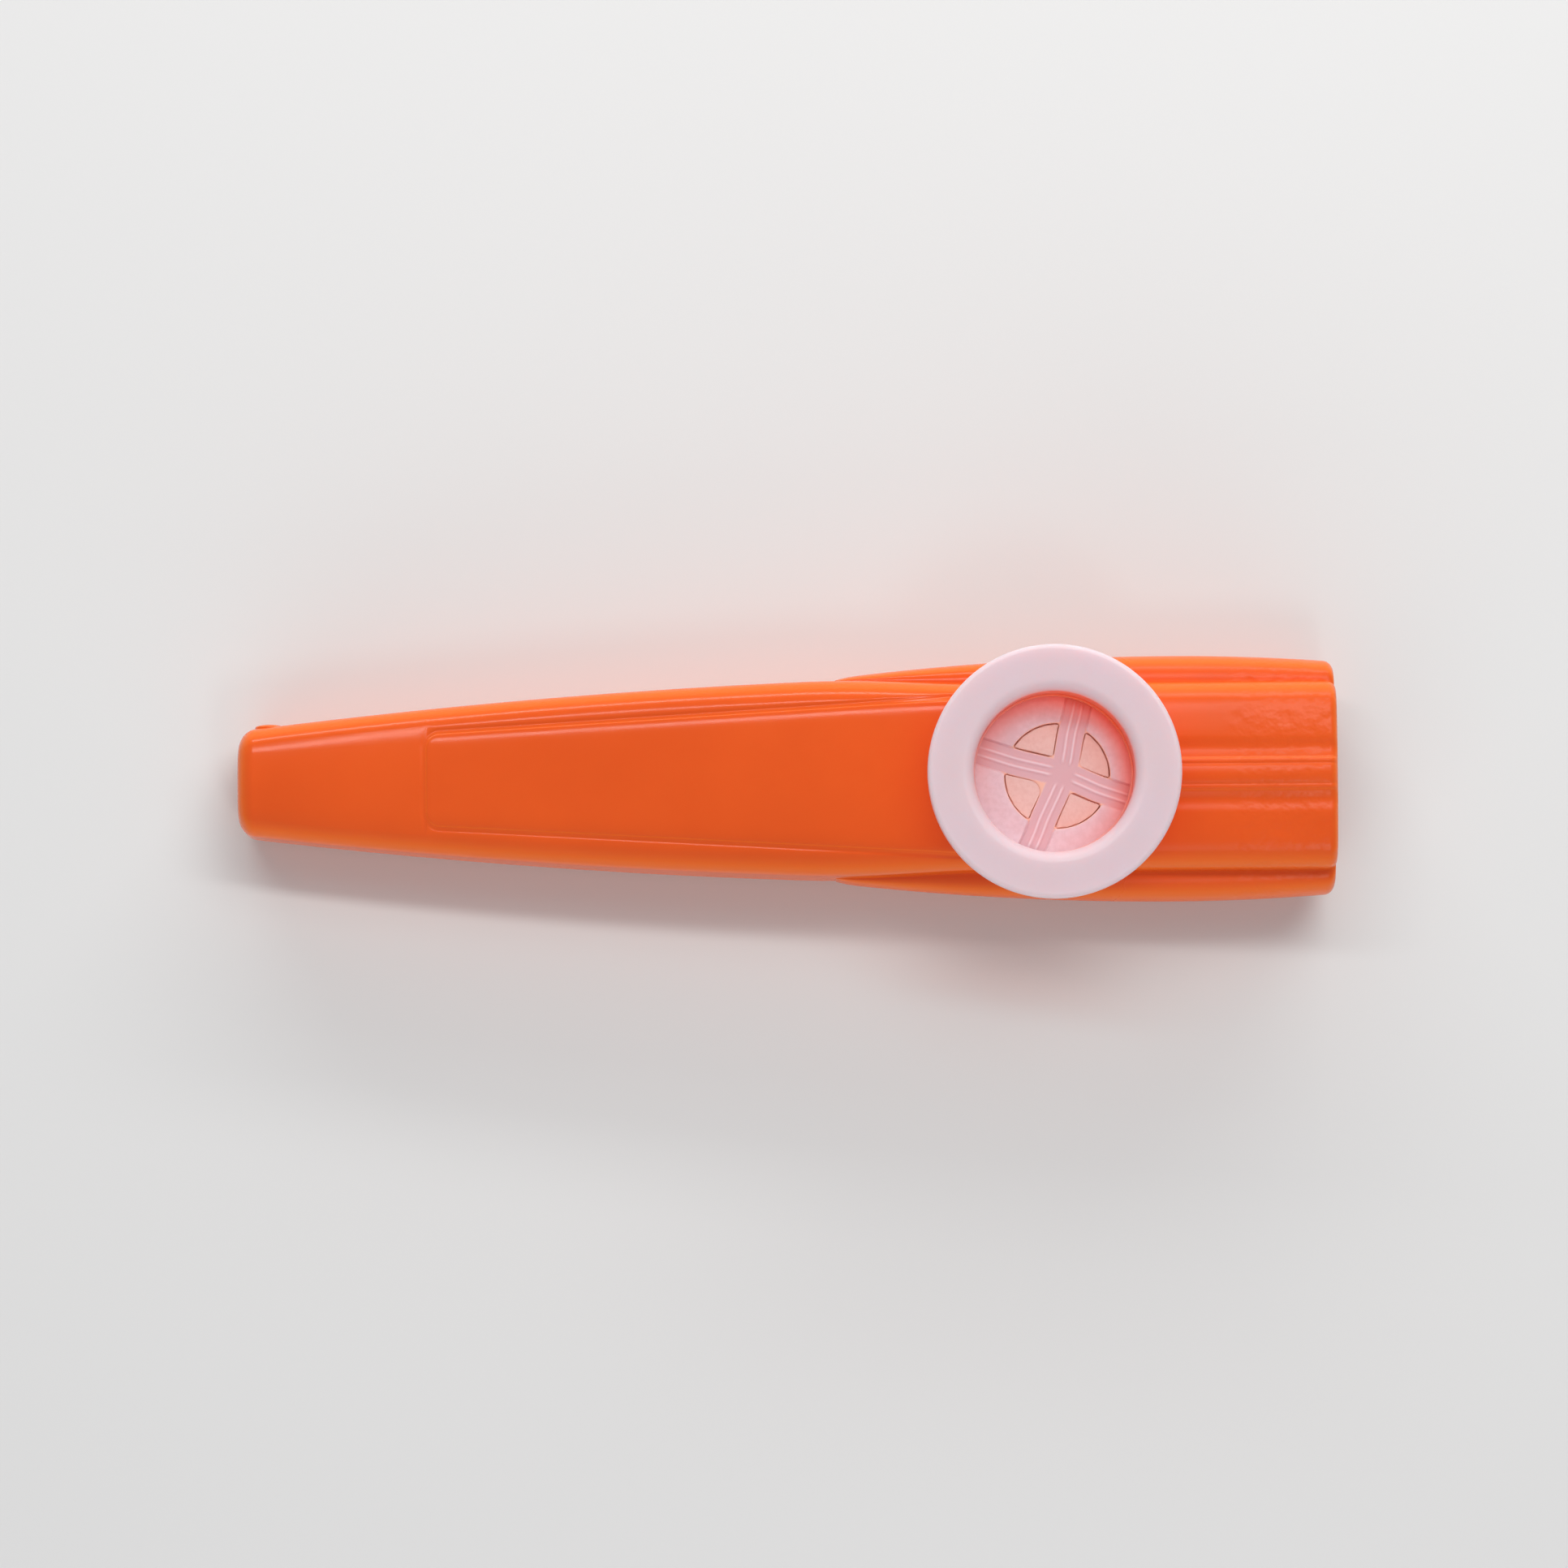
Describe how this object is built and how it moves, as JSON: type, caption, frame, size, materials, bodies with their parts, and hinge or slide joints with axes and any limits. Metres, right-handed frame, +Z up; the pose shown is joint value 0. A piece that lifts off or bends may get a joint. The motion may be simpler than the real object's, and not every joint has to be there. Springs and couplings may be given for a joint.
{
  "type": "kazoo",
  "caption": "Long tapered plastic kazoo with a flared mouth end and a round turret whose flanged cap holds a windowed resonator over a thin membrane.",
  "frame": {"origin": "middle of the box around the kazoo, at its belly", "axes": "+X along the body towards the mouth end, +Z up out of the turret, +Y to the player's right with the turret up and the mouth end in the mouth"},
  "size_m": [0.12, 0.0274, 0.0233],
  "materials": {
    "body": "glossy moulded",
    "cap": "milky, slightly translucent",
    "resonator": "milky, satin",
    "membrane": "thin matt film"
  },
  "bodies": {
    "body": {"body_upper": "body", "body_lower": "body"},
    "resonator": {"resonator_frame": "resonator", "membrane": "membrane", "membrane_ring": "resonator"},
    "cap": {"turret_cap": "cap"}
  },
  "joints": [
    {"name": "resonator_lift", "type": "slide", "parent": "body", "child": "resonator", "axis": [0, 0, 1], "range_m": [0, 0.012]},
    {"name": "cap_pull", "type": "slide", "parent": "resonator", "child": "cap", "axis": [0, 0, 1], "range_m": [0, 0.014]}
  ]
}
